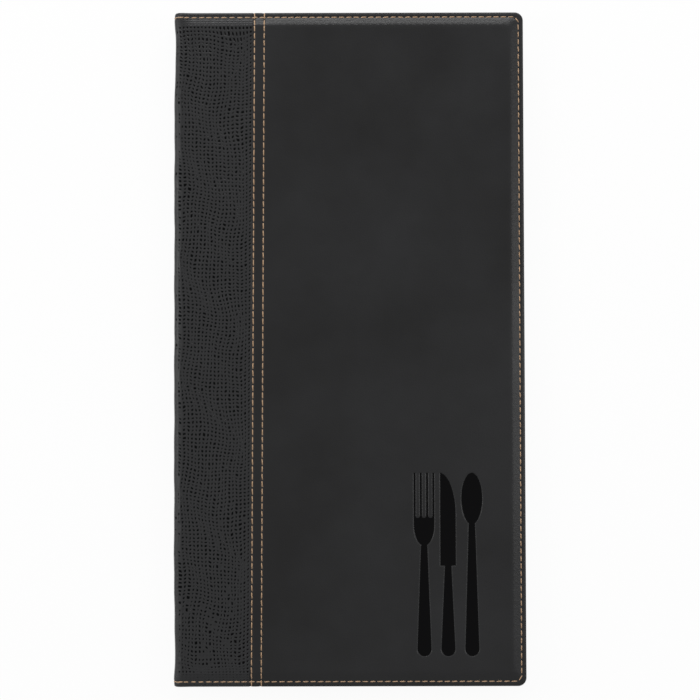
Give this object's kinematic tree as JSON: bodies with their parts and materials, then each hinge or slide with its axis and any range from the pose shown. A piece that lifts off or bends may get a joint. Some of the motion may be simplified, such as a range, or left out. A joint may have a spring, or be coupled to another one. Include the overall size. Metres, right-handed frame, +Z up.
{
  "type": "menu cover",
  "caption": "Tall slim menu cover, padded and stitched in smooth leatherette with a lizard-embossed spine strip, opening on clear sleeves that hold menu cards.",
  "frame": {"origin": "middle of the closed cover's underside, the back cover's outer face, which lies on the table", "axes": "+X from the spine to the fore edge, +Y from the foot to the head of the page, +Z up out of the front cover"},
  "size_m": [0.18, 0.346, 0.016],
  "materials": {
    "panel_leatherette": "smooth coated leatherette, satin",
    "lizard_leatherette": "lizard-embossed coated leatherette, semi-gloss",
    "burnished_leatherette": "hot-pressed leatherette, glossy",
    "contrast_thread": "polyester sewing thread, tan",
    "foam": "thin padding sheet",
    "greyboard": "pressed greyboard",
    "lining_cloth": "fine book cloth, matt",
    "elastic_webbing": "woven flat elastic",
    "clear_film": "clear film, glossy",
    "card": "uncoated card, blank"
  },
  "bodies": {
    "back_cover": {"back_panel_skin": "panel_leatherette", "spine_strip_back": "lizard_leatherette", "back_foam": "foam", "back_board": "greyboard", "back_lining": "lining_cloth", "back_edge_stitching": "contrast_thread", "back_lap_stitching_edge_row": "contrast_thread", "back_lap_stitching_inner_row": "contrast_thread"},
    "front_cover": {"front_panel_skin": "panel_leatherette", "spine_strip_front": "lizard_leatherette", "front_foam": "foam", "front_board": "greyboard", "front_lining": "lining_cloth", "front_edge_stitching": "contrast_thread", "front_lap_stitching_edge_row": "contrast_thread", "front_lap_stitching_inner_row": "contrast_thread"},
    "spine": {"spine_strip_middle": "lizard_leatherette", "spine_board": "greyboard", "spine_lining": "lining_cloth", "spine_edge_stitching": "contrast_thread", "elastic_band": "elastic_webbing", "insert_fold": "clear_film"},
    "left_leaf": {"left_sleeve_back": "clear_film", "left_sleeve_window": "clear_film"},
    "left_card": {"left_menu_card": "card"},
    "right_leaf": {"right_sleeve_back": "clear_film", "right_sleeve_window": "clear_film"},
    "right_card": {"right_menu_card": "card"}
  },
  "joints": [
    {"name": "spine_fold", "type": "hinge", "parent": "back_cover", "child": "spine", "pos_m": [-0.08914, 0, 0.00126], "axis": [0, -1, 0], "range_deg": [0, 90]},
    {"name": "front_fold", "type": "hinge", "parent": "spine", "child": "front_cover", "pos_m": [-0.08914, 0, 0.01474], "axis": [0, -1, 0], "range_deg": [0, 90]},
    {"name": "left_leaf_turn", "type": "hinge", "parent": "spine", "child": "left_leaf", "pos_m": [-0.08445, 0, 0.0098], "axis": [0, -1, 0], "range_deg": [0, 90]},
    {"name": "right_leaf_turn", "type": "hinge", "parent": "spine", "child": "right_leaf", "pos_m": [-0.08445, 0, 0.0062], "axis": [0, -1, 0], "range_deg": [-90, 0]},
    {"name": "left_card_slide", "type": "slide", "parent": "left_leaf", "child": "left_card", "axis": [0, 1, 0], "range_m": [0, 0.31]},
    {"name": "right_card_slide", "type": "slide", "parent": "right_leaf", "child": "right_card", "axis": [0, 1, 0], "range_m": [0, 0.31]}
  ],
  "couplings": [
    {"joint": "left_leaf_turn", "follows": "front_fold", "ratio": 1},
    {"joint": "right_leaf_turn", "follows": "spine_fold", "ratio": -1}
  ]
}
